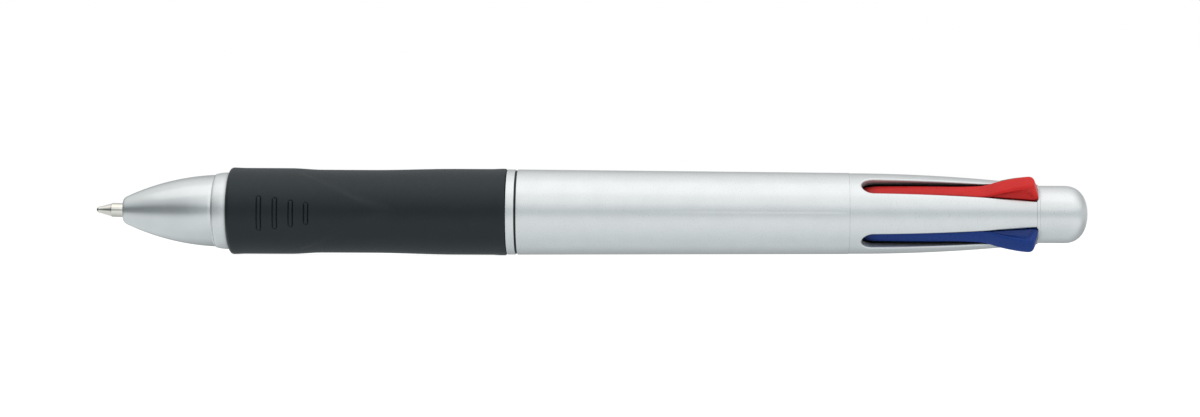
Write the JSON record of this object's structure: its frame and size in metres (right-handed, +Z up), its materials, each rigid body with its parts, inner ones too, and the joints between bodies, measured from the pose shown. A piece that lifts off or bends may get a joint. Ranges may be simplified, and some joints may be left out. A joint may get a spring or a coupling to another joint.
{
  "type": "multicolor click pen",
  "caption": "Retractable ball pen with colour-coded push sliders in a slotted rear housing, a rubber grip and a screwed front section.",
  "frame": {"origin": "centre of the flat crown of the end cap, on the pen's axis", "axes": "+X along the pen towards the end cap, so the writing tip points to -X; +Z up; the red and blue sliders face -Y"},
  "size_m": [0.1486, 0.0132, 0.013],
  "materials": {
    "satin_silver": "moulded plastic with a fine satin silver coat",
    "cone_silver": "satin metal, a little glossier than the barrel",
    "grip_rubber": "matt black rubber",
    "washer_rubber": "matt black rubber",
    "core_plastic": "black moulded plastic",
    "red_plastic": "semi-gloss moulded plastic",
    "blue_plastic": "semi-gloss moulded plastic",
    "black_plastic": "semi-gloss moulded plastic",
    "green_plastic": "semi-gloss moulded plastic",
    "tube_plastic": "natural translucent plastic",
    "red_ink": "writing ink, modelled as a solid column",
    "blue_ink": "writing ink, modelled as a solid column",
    "black_ink": "writing ink, modelled as a solid column",
    "green_ink": "writing ink, modelled as a solid column",
    "point_metal": "turned nickel silver",
    "ball_metal": "polished hard metal ball",
    "spring_steel": "drawn spring wire"
  },
  "bodies": {
    "barrel": {"upper_barrel": "satin_silver", "rear_housing": "satin_silver", "end_cap": "satin_silver", "latch_core": "core_plastic", "refill_guide": "core_plastic", "black_return_spring": "spring_steel", "red_return_spring": "spring_steel", "blue_return_spring": "spring_steel", "green_return_spring": "spring_steel"},
    "seam_ring": {"seam_washer": "washer_rubber"},
    "front_section": {"lower_barrel": "satin_silver", "nose_cone": "cone_silver", "grip_sleeve": "grip_rubber"},
    "black_lever": {"black_slider": "black_plastic"},
    "black_refill": {"black_refill_tube": "tube_plastic", "black_refill_point": "point_metal", "black_writing_ball": "ball_metal", "black_ink_column": "black_ink"},
    "red_lever": {"red_slider": "red_plastic"},
    "red_refill": {"red_refill_tube": "tube_plastic", "red_refill_point": "point_metal", "red_writing_ball": "ball_metal", "red_ink_column": "red_ink"},
    "blue_lever": {"blue_slider": "blue_plastic"},
    "blue_refill": {"blue_refill_tube": "tube_plastic", "blue_refill_point": "point_metal", "blue_writing_ball": "ball_metal", "blue_ink_column": "blue_ink"},
    "green_lever": {"green_slider": "green_plastic"},
    "green_refill": {"green_refill_tube": "tube_plastic", "green_refill_point": "point_metal", "green_writing_ball": "ball_metal", "green_ink_column": "green_ink"}
  },
  "joints": [
    {"name": "front_section_advance", "type": "slide", "parent": "barrel", "child": "seam_ring", "axis": [-1, 0, 0], "range_m": [0, 0.0045]},
    {"name": "front_section_unscrew", "type": "hinge", "parent": "seam_ring", "child": "front_section", "pos_m": [-0.0857, 0, 0], "axis": [-1, 0, 0], "range_deg": [0, 1080]},
    {"name": "black_slide", "type": "slide", "parent": "barrel", "child": "black_lever", "axis": [-0.9985, -0.0392, 0.0392], "range_m": [-0.00901, 0], "deforming": ["black_return_spring"]},
    {"name": "black_refill_flex", "type": "hinge", "parent": "black_lever", "child": "black_refill", "pos_m": [-0.0507, 0.00177, -0.00177], "axis": [0, 0.7071, 0.7071], "range_deg": [-1.25, 0], "deforming": ["black_refill_tube", "black_refill_point", "black_writing_ball", "black_ink_column"]},
    {"name": "red_slide", "type": "slide", "parent": "barrel", "child": "red_lever", "axis": [-0.9985, 0.0392, -0.0392], "range_m": [0, 0.00901], "deforming": ["red_return_spring"]},
    {"name": "red_refill_flex", "type": "hinge", "parent": "red_lever", "child": "red_refill", "pos_m": [-0.0417, -0.00212, 0.00212], "axis": [0, -0.7071, -0.7071], "range_deg": [0, 1.25], "deforming": ["red_refill_tube", "red_refill_point", "red_writing_ball", "red_ink_column"]},
    {"name": "blue_slide", "type": "slide", "parent": "barrel", "child": "blue_lever", "axis": [-0.9985, 0.0392, 0.0392], "range_m": [0, 0.00901], "deforming": ["blue_return_spring"]},
    {"name": "blue_refill_flex", "type": "hinge", "parent": "blue_lever", "child": "blue_refill", "pos_m": [-0.0417, -0.00212, -0.00212], "axis": [0, 0.7071, -0.7071], "range_deg": [0, 1.25], "deforming": ["blue_refill_tube", "blue_refill_point", "blue_writing_ball", "blue_ink_column"]},
    {"name": "green_slide", "type": "slide", "parent": "barrel", "child": "green_lever", "axis": [-0.9985, -0.0392, -0.0392], "range_m": [0, 0.00901], "deforming": ["green_return_spring"]},
    {"name": "green_refill_flex", "type": "hinge", "parent": "green_lever", "child": "green_refill", "pos_m": [-0.0417, 0.00212, 0.00212], "axis": [0, -0.7071, 0.7071], "range_deg": [0, 1.25], "deforming": ["green_refill_tube", "green_refill_point", "green_writing_ball", "green_ink_column"]}
  ],
  "couplings": [
    {"joint": "front_section_advance", "follows": "front_section_unscrew", "m_per_rad": 0.00023873},
    {"joint": "black_refill_flex", "follows": "black_slide", "rad_per_m": 2.4152},
    {"joint": "red_refill_flex", "follows": "red_slide", "rad_per_m": 2.4152},
    {"joint": "blue_refill_flex", "follows": "blue_slide", "rad_per_m": 2.4152},
    {"joint": "green_refill_flex", "follows": "green_slide", "rad_per_m": 2.4152}
  ]
}
